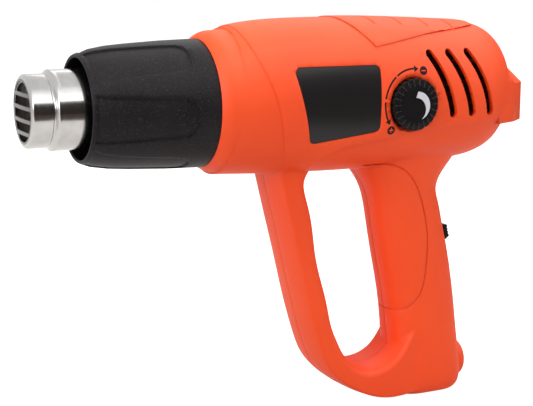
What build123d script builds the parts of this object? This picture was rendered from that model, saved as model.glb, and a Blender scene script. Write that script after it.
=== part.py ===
from build123d import *
import math
import os

os.makedirs("parts", exist_ok=True)

# Frame: X runs rearwards along the barrel axis, Z is up, Y is across. The origin is the centre of the
# front end of the nozzle's straight wall.
# The left half of the casing is on the -Y side.

# Shared values
overrun = 6.0
reach = 100.0
wall = 2.4
skin_depth = 0.8
running_gap = 0.3
seat_gap = 0.1
split_gap = 0.04
section_points = 20

# Nozzle tube: rolled stainless sheet with a stepped front
nozzle_radius = 17.0
nozzle_front_length = 8.4
nozzle_groove_depth = 0.25
nozzle_groove_length = 1.0
nozzle_step_length = 3.4
nozzle_step_bow_share = 0.72
tube_radius = 18.7
tube_wall = 0.8
tube_length = 100.0
tube_lip_reach = 1.3
tube_lip_radius = 2.2
tube_flange_radius = 23.0
tube_flange_thickness = 1.0

# Outlet grille: a slightly domed plate in the mouth of the tube
grille_thickness = 1.0
grille_dome = 0.7
grille_radius = 14.7
grille_window_radius = 13.9
grille_bar_count = 4
grille_bar_pitch = 5.9
grille_bar_shift = -0.8
grille_bar_width = 1.8
grille_arc_width = 0.9
grille_arc_points = ((-2.1, 13.8), (11.9, 1.0), (6.5, -12.0))

# Guard: black sleeve round the tube
guard_front = 24.0
guard_length = 60.0
guard_front_radius = 25.1
guard_rear_radius = 30.9
guard_wall = 1.8
guard_lip_radius = 0.7
guard_spigot_length = 9.0
guard_spigot_wall = 2.0
guard_spigot_step = 1.3
guard_panel_count = 6
guard_panel_turn = -6.0
guard_panel_start = 1.8
guard_panel_length = 47.5
guard_panel_front_width = 22.4
guard_panel_rear_width = 17.6
guard_panel_corner = 6.5
guard_panel_depth = 0.8
guard_bulge_shares = (
    (0.0, 0.0), (0.05, 0.22), (0.1, 0.40), (0.235, 0.62), (0.4, 0.75), (0.7, 0.92), (1.0, 1.0))

# Barrel of the casing, behind the guard
barrel_front = 84.0
barrel_length = 172.3
barrel_half_width = 36.6
barrel_top = 40.0
barrel_bottom = 37.6
collar_front_radius = 30.9
collar_radius = 34.3
collar_rise = 0.4
collar_length = 20.0
collar_round_length = 7.4
collar_round_middle_share = 0.42
collar_round_rise_share = 0.70
collar_lean = 7.0
collar_step_place = 9.6
# place along the barrel, then half width, top and bottom as shares, then squareness
barrel_shares = (
    (0.0, 0.935, 0.858, 0.925, 2.0),
    (0.07, 0.956, 0.905, 0.943, 2.04),
    (0.14, 0.978, 0.958, 0.960, 2.1),
    (0.22, 0.992, 0.988, 0.977, 2.2),
    (0.31, 0.998, 1.0, 0.991, 2.3),
    (0.41, 1.0, 1.002, 1.0, 2.38),
    (0.51, 1.0, 0.998, 1.0, 2.4),
    (0.61, 0.994, 0.982, 0.993, 2.38),
    (0.70, 0.982, 0.964, 0.980, 2.3),
    (0.78, 0.966, 0.945, 0.962, 2.2),
    (0.845, 0.934, 0.929, 0.937, 2.12),
    (0.895, 0.882, 0.895, 0.896, 2.06),
    (0.935, 0.798, 0.828, 0.830, 2.02),
    (0.965, 0.680, 0.722, 0.735, 2.0),
    (0.985, 0.556, 0.598, 0.616, 2.0),
    (1.0, 0.404, 0.425, 0.450, 2.0),
)

# Shoulder crease: below it the side wall steps in
crease_shares = (
    (0.298, -0.96), (0.313, -0.74), (0.349, -0.625), (0.431, -0.535), (0.575, -0.446), (0.719, -0.392),
    (0.863, -0.372), (1.007, -0.372))
crease_floor_share = 1.4

# Front panel: between the collar and an oblique ridge the side wall steps in a little
ridge_shares = (
    (0.091, 1.1), (0.095, 0.86), (0.1155, 0.53), (0.143, 0.21), (0.166, -0.145), (0.1875, -0.515), (0.214, -0.77),
    (0.232, -1.1))
ridge_depth = 0.4

# Top cap: slightly raised, with a pointed front edge on each side and cross grooves
cap_rise = 0.5
cap_front_place = 71.5
cap_point_place = 82.0
cap_point_height = 26.6
cap_mid_place = 114.0
cap_mid_height = 31.9
cap_rear_place = 150.0
cap_rear_height = 35.0
cap_groove_count = 4
cap_groove_pitch = 15.5
cap_groove_width = 1.2
cap_groove_start = 87.0
cap_groove_half_width = 19.0

# Rear foot that the tool stands on, nozzle up
foot_reach = 264.5
foot_length = 24.0
foot_end_half_width = 15.6
foot_bevel_length = 11.0
foot_bevel_half_width = 24.5
foot_root_half_width = 30.0
foot_top = 11.0
foot_shoulder = 4.6
foot_ridge_half_width = 3.5
foot_bottom = 15.2
foot_ridge_rise = 9.5
foot_shoulder_rise = 5.0

# Grip: closed handle behind the loop
grip_half_width = 16.2
grip_top_height = -22.0
grip_height = 138.4
grip_reference_depth = 39.6
grip_reference_place = 205.0
# height share from the top, front and rear places off the reference as shares of the depth,
# then width share and squareness
grip_shares = (
    (0.0, -1.10, 0.76, 1.50, 2.3),
    (0.05, -1.01, 0.66, 1.36, 2.3),
    (0.10, -0.905, 0.54, 1.22, 2.35),
    (0.15, -0.765, 0.40, 1.11, 2.42),
    (0.20, -0.670, 0.334, 1.045, 2.5),
    (0.26, -0.612, 0.384, 1.01, 2.5),
    (0.33, -0.570, 0.444, 1.0, 2.5),
    (0.42, -0.513, 0.523, 1.0, 2.5),
    (0.52, -0.442, 0.596, 1.0, 2.5),
    (0.62, -0.373, 0.652, 1.0, 2.55),
    (0.71, -0.327, 0.689, 1.0, 2.65),
    (0.79, -0.297, 0.717, 1.0, 2.85),
    (0.86, -0.278, 0.738, 1.0, 3.2),
    (0.915, -0.270, 0.746, 1.0, 3.6),
    (0.955, -0.262, 0.742, 0.985, 3.9),
    (0.98, -0.245, 0.712, 0.95, 4.0),
    (1.0, -0.200, 0.640, 0.87, 3.8),
)

# Front strut and bottom bar: one run of sections round the hand loop
loop_half_width = 16.2
loop_outer_crown = 2.3
loop_inner_crown = 0.9
loop_outer_corner = 1.6
loop_inner_corner = 4.2
loop_height = 160.0
loop_length = 92.0
loop_front = 117.4
# outer and inner edge of each section, as shares of the loop's length from its front and of its height,
# then width and crown
loop_shares = (
    (0.005, -0.150, 0.262, -0.172, 1.0, 0.6),
    (0.030, -0.195, 0.222, -0.222, 1.0, 0.8),
    (0.055, -0.245, 0.198, -0.252, 1.0, 1.0),
    (0.087, -0.320, 0.211, -0.306, 1.0, 1.0),
    (0.143, -0.450, 0.257, -0.436, 1.0, 1.0),
    (0.205, -0.600, 0.313, -0.587, 1.0, 1.0),
    (0.262, -0.725, 0.363, -0.704, 1.0, 1.0),
    (0.312, -0.815, 0.413, -0.783, 1.0, 0.9),
    (0.372, -0.878, 0.469, -0.840, 1.0, 0.8),
    (0.454, -0.922, 0.532, -0.875, 1.0, 0.7),
    (0.570, -0.963, 0.610, -0.893, 1.0, 0.6),
    (0.690, -0.989, 0.700, -0.890, 1.0, 0.6),
    (0.800, -0.996, 0.785, -0.868, 0.99, 0.6),
    (0.900, -0.992, 0.862, -0.815, 0.97, 0.6),
    (1.000, -0.975, 0.935, -0.750, 0.90, 0.6),
)

# Cord boss on the lower rear of the grip, with its rubber gland
boss_height = -147.4
boss_radius = 10.6
boss_reach = 238.5
boss_length = 20.0
boss_round = 3.6
gland_radius = 6.4
gland_bore_radius = 4.0
gland_length = 13.0
gland_flange_radius = 7.4
gland_flange_thickness = 2.0
gland_recess = 0.6
clamp_place = 214.0
clamp_width = 6.0
clamp_thickness = 2.6
clamp_reach = 8.6
clamp_gap = 4.4
clamp_seat = 3.5
clamp_screw_offset = 6.2
clamp_screw_radius = 1.25
clamp_post_radius = 2.6
clamp_head_radius = 2.2
clamp_head_height = 1.6
clamp_screw_length = 13.0

# Grip side panels, outlined by a fine groove
panel_groove_width = 0.9
panel_groove_depth = 0.5
# places off the grip's reference as shares of its depth, and drops from its top as shares of its height
panel_outline_shares = (
    (-1.27, 0.088), (-0.97, 0.078), (-0.67, 0.079), (-0.445, 0.094), (-0.285, 0.122), (-0.132, 0.176),
    (-0.015, 0.257), (0.055, 0.336), (0.075, 0.395), (0.066, 0.473), (0.035, 0.549), (-0.055, 0.616),
    (-0.205, 0.658), (-0.405, 0.668), (-0.60, 0.655), (-0.80, 0.63), (-0.90, 0.61))
parting_groove_width = 0.5

# Label plate: left bare, set in a shallow recess on the left side
plate_gap = 0.25
plate_sink = 0.15
plate_corner = 3.2
plate_rear = 166.0
plate_top = 18.2
plate_height = 37.2
plate_width = 46.6
# corner places of the outline as shares of its width forwards from the rear edge and of its height down
plate_shares = ((0.0, 0.0), (1.0, 0.0), (0.80, 1.0), (0.0, 0.875))

# Dial well, control and knob on the left side
dial_place = 184.4
dial_height = -1.8
dial_face = 39.0
well_radius = 13.7
well_floor = 33.4
well_floor_thickness = 1.8
well_wall = 1.8
knob_radius = 12.9
knob_lift = 0.5
knob_flute_count = 22
knob_flute_radius = 1.1
knob_flute_sink_share = 0.45
knob_crown_radius = 10.2
knob_crown_height = 0.5
knob_edge_round = 0.5
knob_hollow_radius = 6.4
knob_hollow_depth = 1.8
knob_mark_outer_radius = 7.05
knob_mark_outer_place = (2.0, -0.8)
knob_mark_inner_radius = 5.95
knob_mark_inner_place = (0.9, -2.7)
knob_mark_start = (1.1, 3.1)
knob_mark_start_lean = 20.0
knob_mark_thickness = 0.25
control_radius = 8.0
control_depth = 6.6
control_bush_radius = 3.7
control_nut_radius = 5.2
control_nut_sides = 6
control_nut_thickness = 1.4
control_shaft_gap = 0.05
dial_shaft_radius = 3.0
dial_shaft_top = 37.2
dial_shaft_start = 26.0
dial_shaft_fit = 0.02

# Side vents and the dust screens behind them
vent_count = 3
vent_pitch = 11.9
vent_width = 4.4
vent_top_place = 195.8
vent_top_height = 22.2
vent_bottom_place = 208.6
vent_bottom_height = -7.6
vent_bow = 1.4
vent_depth = 22.0
screen_gap = 0.15
screen_thickness = 0.9
screen_margin = 3.2
screen_slat_count = 7
screen_slat_height = 2.4

# Air duct that carries the motor, with its ribs
duct_inner_radius = 23.0
duct_wall = 1.6
duct_cone_length = 24.0
duct_rear = 206.0
duct_flange_radius = 27.0
duct_flange_thickness = 2.0
duct_front_radius = 18.4
motor_cradle_wall = 1.4
motor_cradle_length = 30.0
motor_rib_count = 4
motor_rib_thickness = 1.6
casing_rib_thickness = 2.0
casing_rib_places = (130.0, 162.0)

# Motor, rectifier board and fan
motor_radius = 13.6
motor_length = 38.0
motor_front = 144.0
motor_round = 1.6
motor_boss_radius = 5.0
motor_boss_length = 2.0
motor_shaft_radius = 1.2
motor_shaft_gap = 0.05
rectifier_radius = 12.2
rectifier_thickness = 1.6
rectifier_post_radius = 1.4
diode_radius = 1.6
diode_length = 5.0
diode_offset = 6.5
diode_count = 4
fan_front = 190.0
fan_length = 12.0
fan_radius = 22.3
fan_hub_radius = 7.0
fan_blade_count = 7
fan_blade_thickness = 1.2
fan_blade_pitch = 52.0
fan_blade_chord = 11.5
fan_blade_bow = 1.6
fan_hub_round = 1.5

# Heater: liner, ceramic former, windings and thermal cut-out
liner_wall = 1.6
liner_start = 14.0
liner_length = 80.0
former_start = 24.0
former_length = 62.0
former_hole_count = 6
former_hole_radius = 3.1
former_hole_ring = 9.4
winding_radius = 3.0
winding_overhang = 2.0
spider_thickness = 1.2
spider_hub_radius = 6.0
spider_arm_width = 3.0
spider_arm_count = 3
cutout_radius = 4.0
cutout_length = 5.0

# Switch on the rear of the grip
switch_height = -75.4
switch_lean = 13.4
switch_reach = 224.5
switch_body_length = 30.0
switch_body_width = 13.0
switch_body_depth = 11.0
switch_rib_thickness = 1.6
switch_rib_inset = 2.0
switch_travel = 6.0
switch_stem_length = 4.0
switch_stem_width = 5.0
switch_slot_gap = 0.3
switch_nub_depth = 1.6
switch_nub_length = 3.0
switch_nub_width = 3.0
shutter_sink = 3.7
shutter_thickness = 0.7
shutter_half_width = 4.3
shutter_overlap = 1.2
thumb_length = 8.2
thumb_width = 12.0
thumb_rise = 2.9
thumb_base_rise = 0.4
thumb_taper = 0.8
thumb_rib_count = 3
thumb_rib_width = 0.7
thumb_rib_depth = 0.4

# Circuit board in the grip
board_place = 197.4
board_height = -76.0
board_lean = 12.5
board_width = 16.0
board_length = 46.0
board_thickness = 1.6
board_offset = 2.4
board_post_radius = 2.4
board_post_place = 19.0
board_pin_radius = 1.2
board_pin_gap = 0.1
capacitor_radius = 4.2
capacitor_length = 11.0
capacitor_place = 10.0
capacitor_round = 0.6
heatsink_place = -8.0
heatsink_length = 16.0
heatsink_width = 9.0
heatsink_thickness = 1.4
heatsink_fin_thickness = 0.8
heatsink_fin_count = 4
heatsink_fin_height = 5.0

# Screws that hold the casing halves
screw_places = (
    (112.0, 30.3), (241.0, 18.5), (123.5, -29.8), (158.6, -139.4), (203.6, -149.0), (214.0, -44.0))
screw_shank_radius = 1.5
screw_shank_gap = 0.08
screw_head_radius = 3.0
screw_head_gap = 0.3
screw_head_height = 2.2
screw_boss_wall = 1.2
screw_length = 16.0
screw_head_seat = 6.0


# Helpers
def rod_along_x(place, length, radius, y=0.0, z=0.0):
    disc = Plane(origin=(place, y, z), x_dir=(0, 1, 0), z_dir=(1, 0, 0)) * Circle(radius)
    return extrude(disc, amount=length)


def rod_along_y(x, z, radius, start, end):
    disc = Plane(origin=(x, start, z), x_dir=(1, 0, 0), z_dir=(0, 1, 0)) * Circle(radius)
    return extrude(disc, amount=end - start)


def ring_along_x(place, length, outer, inner):
    bore = rod_along_x(place - overrun, length + overrun * 2, inner)
    return rod_along_x(place, length, outer) - bore


def turned(points):
    outline = Plane.XZ * Polyline(*points, close=True)
    return revolve(make_face(outline), axis=Axis.X, revolution_arc=360)


def block(x_min, x_max, y_min, y_max, z_min, z_max):
    size = (x_max - x_min, y_max - y_min, z_max - z_min)
    middle = ((x_min + x_max) / 2, (y_min + y_max) / 2, (z_min + z_max) / 2)
    return Location(middle) * Box(*size)


def side_prism(outline, depth):
    return extrude(Plane.XZ * outline, amount=depth, both=True)


def rounded_loop(x, half_width, top, bottom, power):
    points = []
    for step in range(section_points):
        angle = math.tau * step / section_points
        across, up = math.cos(angle), math.sin(angle)
        rise = top if up > 0 else bottom
        y = half_width * math.copysign(abs(across) ** (2 / power), across)
        z = rise * math.copysign(abs(up) ** (2 / power), up)
        points.append((x, y, z))
    return Wire([Edge.make_spline(points, periodic=True)])


# Casing forms: each takes an inset from the outer surface
def barrel_form(inset):
    wires = []
    for place, width, top, bottom, power in barrel_shares:
        x = barrel_front + place * barrel_length + max(inset, 0) * (1 - 2 * place)
        sizes = (barrel_half_width * width - inset, barrel_top * top - inset, barrel_bottom * bottom - inset)
        wires.append(rounded_loop(x, *sizes, power))
    return Part() + Solid.make_loft(wires)


def collar_form(inset):
    front = collar_front_radius - inset
    crown = collar_radius - inset
    start = barrel_front + max(inset, 0)
    bend = start + collar_round_length
    middle = (
        start + collar_round_length * collar_round_middle_share,
        front + (crown - front) * collar_round_rise_share)
    arc = ThreePointArc((start, front), middle, (bend, crown))
    rear = barrel_front + collar_length
    edge = Polyline((bend, crown), (rear, crown + skin_depth), (rear, 0), (start, 0), (start, front))
    return Pos(0, 0, collar_rise) * revolve(make_face(Plane.XZ * (arc + edge)), axis=Axis.X)


def grip_form(inset):
    wires = []
    for drop, front, rear, width, power in grip_shares:
        z = grip_top_height - drop * (grip_height - inset)
        x_front = grip_reference_place + front * grip_reference_depth + inset
        x_rear = grip_reference_place + rear * grip_reference_depth - inset
        half_depth = (x_rear - x_front) / 2
        half_width = grip_half_width * width - inset
        points = []
        for step in range(section_points):
            angle = math.tau * step / section_points
            along, across = math.cos(angle), math.sin(angle)
            x = (x_front + x_rear) / 2 + half_depth * math.copysign(abs(along) ** (2 / power), along)
            y = half_width * math.copysign(abs(across) ** (2 / power), across)
            points.append((x, y, z))
        wires.append(Wire([Edge.make_spline(points, periodic=True)]))
    return Part() + Solid.make_loft(wires)


def loop_section(outer, inner, half_width, crown_share, inset):
    run = Vector(inner[0] - outer[0], 0, inner[1] - outer[1])
    middle = ((inner[0] + outer[0]) / 2, 0, (inner[1] + outer[1]) / 2)
    half = run.length / 2 - inset
    across = half_width - inset
    plane = Plane(origin=middle, x_dir=run, z_dir=run.cross(Vector(0, 1, 0)))
    front = ThreePointArc((-half, -across), (-half - loop_outer_crown * crown_share, 0), (-half, across))
    side = Line((-half, across), (half, across))
    back = ThreePointArc((half, across), (half + loop_inner_crown, 0), (half, -across))
    close = Line((half, -across), (-half, -across))
    face = make_face(front + side + back + close)
    ease = min(inset, loop_outer_corner / 2)
    face = fillet(face.vertices().group_by(Axis.X)[0], loop_outer_corner - ease)
    face = fillet(face.vertices().group_by(Axis.X)[-1], loop_inner_corner - ease)
    return (plane * face).face().outer_wire()


def loop_form(inset):
    wires = []
    for out_x, out_z, in_x, in_z, width, crown in loop_shares:
        outer = (loop_front + out_x * loop_length, out_z * loop_height)
        inner = (loop_front + in_x * loop_length, in_z * loop_height)
        wires.append(loop_section(outer, inner, loop_half_width * width, crown, inset))
    return Part() + Solid.make_loft(wires)


def foot_form(inset):
    wires = []
    stations = (
        (foot_reach - foot_length, foot_root_half_width, foot_ridge_rise * 2, foot_shoulder_rise),
        (foot_reach - foot_bevel_length, foot_bevel_half_width, foot_ridge_rise, 0),
        (foot_reach - inset, foot_end_half_width, 0, 0),
    )
    for x, half_width, ridge_rise, shoulder_rise in stations:
        side = half_width - inset
        top = foot_top + ridge_rise - inset
        shoulder = foot_shoulder + shoulder_rise - inset
        bottom = foot_bottom - inset
        corners = (
            (-side, -bottom), (side, -bottom), (side, shoulder), (foot_ridge_half_width, top),
            (-foot_ridge_half_width, top), (-side, shoulder))
        wires.append(Wire.make_polygon([(x, y, z) for y, z in corners], close=True))
    return Part() + Solid.make_loft(wires, ruled=True)


def boss_form(inset):
    start = boss_reach - boss_length
    boss = rod_along_x(start, boss_length - inset, boss_radius - inset, z=boss_height)
    rim = boss.edges().filter_by(GeomType.CIRCLE).sort_by(Axis.X)[-1]
    return fillet(rim, boss_round - min(inset, boss_round / 2))


def collar_cut():
    lean = math.radians(collar_lean)
    origin = (barrel_front + collar_step_place, 0, 0)
    forwards = Plane(origin=origin, x_dir=(0, 1, 0), z_dir=(-math.cos(lean), 0, math.sin(lean)))
    return extrude(forwards * Circle(barrel_length), amount=barrel_length)


def joined_form(barrel, inset):
    form = barrel - collar_cut() + collar_form(inset)
    for piece in (foot_form(inset), grip_form(inset), loop_form(inset), boss_form(inset)):
        form = form + piece
    return form


def casing_form(inset):
    return joined_form(barrel_form(inset), inset)


def left_side(form):
    return form & block(-overrun, foot_reach + overrun, -reach, -split_gap / 2, -reach * 2, reach)


# Shoulder crease and top cap of the barrel
def crease_cutter():
    curve = [(barrel_front + x * barrel_length, z * barrel_bottom) for x, z in crease_shares]
    floor = -crease_floor_share * barrel_bottom
    edge = Spline(*curve) + Polyline(curve[-1], (curve[-1][0], floor), (curve[0][0], floor), curve[0])
    return side_prism(make_face(edge), reach) - barrel_form(skin_depth)


def front_panel_cutter():
    curve = [(barrel_front + x * barrel_length, z * barrel_top) for x, z in ridge_shares]
    front = barrel_front - overrun
    edge = Spline(*curve) + Polyline(curve[-1], (front, curve[-1][1]), (front, curve[0][1]), curve[0])
    return side_prism(make_face(edge), reach) - barrel_form(ridge_depth)


def top_cap():
    over = barrel_top + overrun
    points = (
        (cap_front_place, over), (cap_front_place, barrel_top), (cap_point_place, cap_point_height),
        (cap_mid_place, cap_mid_height), (cap_rear_place, cap_rear_height), (cap_rear_place + overrun, over))
    points = [(barrel_front + x, z) for x, z in points]
    prism = side_prism(make_face(Polyline(*points, close=True)), reach)
    for index in range(cap_groove_count):
        x = barrel_front + cap_groove_start + index * cap_groove_pitch
        half = cap_groove_half_width
        prism = prism - block(x, x + cap_groove_width, -half, half, -reach, reach * 2)
    return prism & barrel_form(-cap_rise)


def casing_outside():
    return joined_form(barrel_form(0) - crease_cutter() - front_panel_cutter() + top_cap(), 0)


# Guard
def guard_radius_at(share):
    return guard_front_radius + share * (guard_rear_radius - guard_front_radius)


def guard_profile(inset):
    return [
        (guard_front + place * guard_length, guard_radius_at(rise) - inset) for place, rise in guard_bulge_shares]


def guard_panel_cutter():
    start = guard_front + guard_panel_start
    end = start + guard_panel_length
    front, rear = guard_panel_front_width / 2, guard_panel_rear_width / 2
    mouth = start - overrun
    outline = make_face(Polyline((mouth, -front), (mouth, front), (end, rear), (end, -rear), close=True))
    outline = fillet(outline.vertices().group_by(Axis.X)[-1], guard_panel_corner)
    return extrude(outline, amount=reach)


def nozzle_guard():
    rear = guard_front + guard_length
    spigot = guard_rear_radius - guard_spigot_step
    outer = guard_profile(0)
    inner = guard_profile(guard_wall)
    inside = spigot - guard_spigot_wall
    end = rear + guard_spigot_length
    sleeve = turned(outer + [(rear, spigot), (end, spigot), (end, inside), (rear, inside)] + inner[::-1][1:])
    sleeve = fillet(sleeve.edges().filter_by(GeomType.CIRCLE).sort_by(Axis.X)[:2], guard_lip_radius)
    floor = turned(guard_profile(guard_panel_depth) + [(rear, 0), (guard_front, 0)])
    lip = rod_along_x(guard_front - overrun, overrun + guard_panel_start, reach)
    cutter = guard_panel_cutter() - floor - lip
    for index in range(guard_panel_count):
        turn = guard_panel_turn + 90 + index * 360 / guard_panel_count
        sleeve = sleeve - Rot(turn, 0, 0) * cutter
    return sleeve


# Nozzle tube and grille
def nozzle_tube():
    step = nozzle_front_length + nozzle_step_length
    inner = nozzle_radius - tube_wall
    bore = tube_radius - tube_wall
    face_radius = nozzle_radius - tube_lip_radius
    round_share = math.sqrt(0.5)
    bend = (-tube_lip_reach * round_share, face_radius + tube_lip_radius * round_share)
    groove_middle = (nozzle_front_length + nozzle_groove_length / 2, nozzle_radius - nozzle_groove_depth)
    groove_end = nozzle_front_length + nozzle_groove_length
    bow = nozzle_radius + (tube_radius - nozzle_radius) * nozzle_step_bow_share
    rise = (groove_end + (step - groove_end) / 3, bow)
    flange_start = tube_length - tube_flange_thickness
    outer = ThreePointArc((-tube_lip_reach, face_radius), bend, (0, nozzle_radius))
    outer = outer + Line((0, nozzle_radius), (nozzle_front_length, nozzle_radius))
    outer = outer + ThreePointArc((nozzle_front_length, nozzle_radius), groove_middle, (groove_end, nozzle_radius))
    outer = outer + ThreePointArc((groove_end, nozzle_radius), rise, (step, tube_radius))
    rest = Polyline(
        (step, tube_radius), (flange_start, tube_radius), (flange_start, tube_flange_radius),
        (tube_length, tube_flange_radius), (tube_length, bore), (step + tube_wall, bore),
        (nozzle_front_length + tube_wall, inner), (0, inner), (tube_wall - tube_lip_reach, face_radius),
        (-tube_lip_reach, face_radius))
    return revolve(make_face(Plane.XZ * (outer + rest)), axis=Axis.X, revolution_arc=360)


def outlet_grille():
    front = -tube_lip_reach
    back = front + grille_thickness
    dome = ThreePointArc(
        (front, grille_radius), (front - grille_dome * 3 / 4, grille_radius / 2), (front - grille_dome, 0))
    hollow = ThreePointArc(
        (back - grille_dome, 0), (back - grille_dome * 3 / 4, grille_radius / 2), (back, grille_radius))
    outline = dome + Line((front - grille_dome, 0), (back - grille_dome, 0)) + hollow
    outline = outline + Line((back, grille_radius), (front, grille_radius))
    plate = revolve(make_face(Plane.XZ * outline), axis=Axis.X)
    windows = rod_along_x(front - overrun, overrun * 2, grille_window_radius)
    for index in range(grille_bar_count):
        z = (index - (grille_bar_count - 1) / 2) * grille_bar_pitch + grille_bar_shift
        half = grille_bar_width / 2
        windows = windows - block(-overrun * 2, overrun * 2, -reach, reach, z - half, z + half)
    plane = Plane(origin=(-overrun * 2, 0, 0), x_dir=(0, 1, 0), z_dir=(1, 0, 0))
    curved_bar = extrude(plane * SlotArc(ThreePointArc(*grille_arc_points), grille_arc_width), amount=reach)
    return plate - (windows - curved_bar)


# Heater
def mica_liner():
    outer = tube_radius - tube_wall - seat_gap
    return ring_along_x(liner_start, liner_length, outer, outer - liner_wall)


def winding_places():
    places = [(0, 0)]
    for index in range(former_hole_count):
        angle = math.tau * index / former_hole_count
        places.append((former_hole_ring * math.cos(angle), former_hole_ring * math.sin(angle)))
    return places


def heater_former():
    radius = tube_radius - tube_wall - seat_gap * 2 - liner_wall
    former = rod_along_x(former_start, former_length, radius)
    for y, z in winding_places():
        former = former - rod_along_x(former_start - overrun, former_length + overrun * 2, former_hole_radius, y, z)
    return former


def heating_windings():
    start = former_start - winding_overhang
    length = former_length + winding_overhang * 2
    return Part() + [rod_along_x(start, length, winding_radius, y, z) for y, z in winding_places()]


def heater_spider():
    place = former_start + former_length + winding_overhang + seat_gap
    radius = tube_radius - tube_wall - seat_gap * 2 - liner_wall
    spider = rod_along_x(place, spider_thickness, spider_hub_radius)
    spider = spider + ring_along_x(place, spider_thickness, radius, radius - spider_arm_width)
    half = spider_arm_width / 2
    arm = block(place, place + spider_thickness, -half, half, 0, radius - half)
    for index in range(spider_arm_count):
        spider = spider + Rot(index * 360 / spider_arm_count, 0, 0) * arm
    return spider


def thermal_cutout():
    place = former_start + former_length + winding_overhang + seat_gap * 2 + spider_thickness
    return rod_along_x(place, cutout_length, cutout_radius)


# Air duct, motor and fan
def air_duct():
    start = tube_length + seat_gap
    flange_end = start + duct_flange_thickness
    cone_end = start + duct_cone_length
    duct = turned([
        (start, duct_front_radius), (start, duct_flange_radius), (flange_end, duct_flange_radius),
        (flange_end, duct_front_radius + duct_wall), (cone_end, duct_inner_radius + duct_wall),
        (duct_rear, duct_inner_radius + duct_wall), (duct_rear, duct_inner_radius), (cone_end, duct_inner_radius)])
    cradle_inner = motor_radius + seat_gap
    cradle_outer = cradle_inner + motor_cradle_wall
    cradle_start = motor_front + (motor_length - motor_cradle_length) / 2
    duct = duct + ring_along_x(cradle_start, motor_cradle_length, cradle_outer, cradle_inner)
    half = motor_rib_thickness / 2
    rib = block(cradle_start, cradle_start + motor_cradle_length, -half, half,
                cradle_inner + motor_cradle_wall / 2, duct_inner_radius + duct_wall / 2)
    for index in range(motor_rib_count):
        duct = duct + Rot((index + 0.5) * 360 / motor_rib_count, 0, 0) * rib
    return duct


def motor_can():
    can = rod_along_x(motor_front, motor_length, motor_radius)
    can = fillet(can.edges().filter_by(GeomType.CIRCLE), motor_round)
    can = can + rod_along_x(motor_front + motor_length - overrun, motor_boss_length + overrun, motor_boss_radius)
    bore = rod_along_x(motor_front - overrun, motor_length + overrun * 3, motor_shaft_radius + motor_shaft_gap)
    return can - bore


def motor_shaft():
    start = motor_front + motor_round
    return rod_along_x(start, fan_front + fan_length + motor_round - start, motor_shaft_radius)


def rectifier_board():
    start = motor_front - rectifier_thickness * 2
    board = rod_along_x(start, rectifier_thickness, rectifier_radius)
    for turn in range(2):
        y = (turn * 2 - 1) * rectifier_radius / 2
        board = board + rod_along_x(start, rectifier_thickness * 2, rectifier_post_radius, y, 0)
    for turn in range(diode_count):
        angle = math.tau * (turn + 0.5) / diode_count
        y, z = diode_offset * math.cos(angle), diode_offset * math.sin(angle)
        board = board + rod_along_x(start - diode_length, diode_length + rectifier_thickness / 2, diode_radius, y, z)
    return board


def fan_impeller():
    hub = rod_along_x(fan_front, fan_length, fan_hub_radius)
    hub = fillet(hub.edges().filter_by(GeomType.CIRCLE).sort_by(Axis.X)[-1], fan_hub_round)
    half, thick = fan_blade_chord / 2, fan_blade_thickness
    front = ThreePointArc((-half, 0), (0, fan_blade_bow), (half, 0))
    back = ThreePointArc((half, -thick), (0, fan_blade_bow - thick), (-half, -thick))
    outline = make_face(front + Line((half, 0), (half, -thick)) + back + Line((-half, -thick), (-half, 0)))
    root = Pos(fan_front + fan_length / 2, 0, fan_hub_radius / 2) * Rot(0, 0, fan_blade_pitch)
    blade = extrude(root * outline, amount=reach)
    blade = blade & rod_along_x(fan_front, fan_length, fan_radius)
    for index in range(fan_blade_count):
        hub = hub + Rot(index * 360 / fan_blade_count, 0, 0) * blade
    bore = rod_along_x(fan_front - overrun, fan_length + overrun * 2, motor_shaft_radius + dial_shaft_fit)
    return hub - bore


# Dial
def control_body():
    back = -(well_floor - well_floor_thickness - seat_gap)
    body = rod_along_y(dial_place, dial_height, control_radius, back, back + control_depth)
    bush_top = -(well_floor + control_nut_thickness + seat_gap * 2)
    body = body + rod_along_y(dial_place, dial_height, control_bush_radius, bush_top, back + seat_gap)
    return body - rod_along_y(dial_place, dial_height, dial_shaft_radius + control_shaft_gap, -reach, 0)


def control_nut():
    start = -(well_floor + seat_gap)
    plane = Plane(origin=(dial_place, start, dial_height), x_dir=(1, 0, 0), z_dir=(0, -1, 0))
    nut = extrude(plane * RegularPolygon(control_nut_radius, control_nut_sides), amount=control_nut_thickness)
    return nut - rod_along_y(dial_place, dial_height, control_bush_radius + seat_gap / 2, -reach, 0)


def dial_shaft():
    return rod_along_y(dial_place, dial_height, dial_shaft_radius, -dial_shaft_top, -dial_shaft_start)


def dial_knob():
    base = well_floor + knob_lift
    face = dial_face - knob_crown_height
    knob = rod_along_y(dial_place, dial_height, knob_radius, -face, -base)
    knob = chamfer(knob.edges().filter_by(GeomType.CIRCLE).sort_by(Axis.Y)[0], knob_edge_round)
    knob = knob + rod_along_y(dial_place, dial_height, knob_crown_radius, -dial_face, -base)
    for index in range(knob_flute_count):
        angle = math.tau * index / knob_flute_count
        ring = knob_radius + knob_flute_radius * knob_flute_sink_share
        x, z = dial_place + ring * math.cos(angle), dial_height + ring * math.sin(angle)
        knob = knob - rod_along_y(x, z, knob_flute_radius, -reach, 0)
    knob = knob - rod_along_y(dial_place, dial_height, knob_hollow_radius, -base - knob_hollow_depth, 0)
    return knob - rod_along_y(dial_place, dial_height, dial_shaft_radius + dial_shaft_fit, -dial_shaft_top, 0)


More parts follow.
